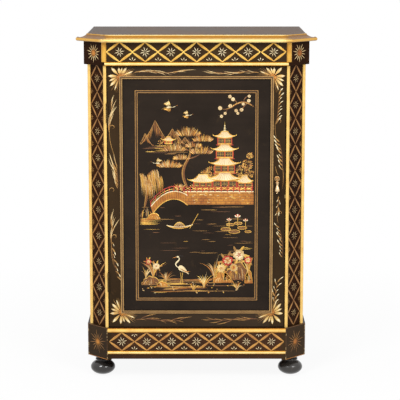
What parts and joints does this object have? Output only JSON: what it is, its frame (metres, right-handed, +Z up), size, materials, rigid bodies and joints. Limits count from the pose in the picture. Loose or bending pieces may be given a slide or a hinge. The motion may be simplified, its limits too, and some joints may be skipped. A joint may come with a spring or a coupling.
{
  "type": "side cabinet",
  "caption": "Black lacquered side cabinet with canted corners, a hinged door with a drop pull, gilt mouldings, shelves inside and turned bun feet.",
  "frame": {"origin": "on the floor, under the middle of the cabinet's box", "axes": "+X to the viewer's right along the front, +Y from the front to the back, +Z up"},
  "size_m": [0.728, 0.406, 1.06],
  "materials": {
    "black_lacquer": "black japanned lacquer, satin to glossy, with gilt decoration",
    "ebonised_feet": "ebonised and polished turned wood",
    "gilt_wood": "gilded wood moulding, slightly rubbed",
    "stained_pine": "dark stained softwood",
    "brass": "polished brass",
    "steel": "plain steel pin"
  },
  "bodies": {
    "case": {"top_board": "black_lacquer", "frieze_front": "black_lacquer", "frieze_block_left": "black_lacquer", "frieze_block_right": "black_lacquer", "corner_pilaster_left": "black_lacquer", "corner_pilaster_right": "black_lacquer", "side_panel_left": "black_lacquer", "side_panel_right": "black_lacquer", "plinth_front": "black_lacquer", "plinth_block_left": "black_lacquer", "plinth_block_right": "black_lacquer", "plinth_side_left": "black_lacquer", "plinth_side_right": "black_lacquer", "feet": "ebonised_feet", "top_moulding": "gilt_wood", "frieze_corner_bead_left": "gilt_wood", "frieze_corner_bead_right": "gilt_wood", "frieze_bead": "gilt_wood", "pilaster_beads_left": "gilt_wood", "pilaster_beads_right": "gilt_wood", "plinth_upper_bead": "gilt_wood", "plinth_lower_bead": "gilt_wood", "back_boards": "stained_pine", "bottom_board": "stained_pine", "shelf_lower": "stained_pine", "shelf_upper": "stained_pine", "shelf_battens": "stained_pine", "plinth_back": "stained_pine", "plinth_rear_block_left": "stained_pine", "plinth_rear_block_right": "stained_pine", "hinge_leaves_case": "brass", "hinge_screws_case": "brass", "strike_plate": "brass", "strike_screws": "brass", "hinge_pins": "steel"},
    "door": {"door_stile_left": "black_lacquer", "door_stile_right": "black_lacquer", "door_rail_top": "black_lacquer", "door_rail_bottom": "black_lacquer", "door_panel": "black_lacquer", "door_fillet": "gilt_wood", "panel_fillet": "gilt_wood", "hinge_leaves_door": "brass", "hinge_screws_door": "brass", "pull_rosette": "brass", "pull_pin": "brass", "catch_case": "brass"},
    "drop": {"pull_drop": "brass"},
    "bolt": {"catch_bolt": "brass"}
  },
  "joints": [
    {"name": "door_hinge", "type": "hinge", "parent": "case", "child": "door", "pos_m": [-0.2689, -0.1724, 0.5645], "axis": [0, 0, -1], "range_deg": [0, 110]},
    {"name": "pull_swing", "type": "hinge", "parent": "door", "child": "drop", "pos_m": [0.2438, -0.18, 0.625], "axis": [-1, 0, 0], "range_deg": [0, 95]},
    {"name": "catch_slide", "type": "slide", "parent": "door", "child": "bolt", "axis": [-1, 0, 0], "range_m": [0, 0.0028], "stiffness_N_per_m": 500, "springref_m": -0.004}
  ]
}
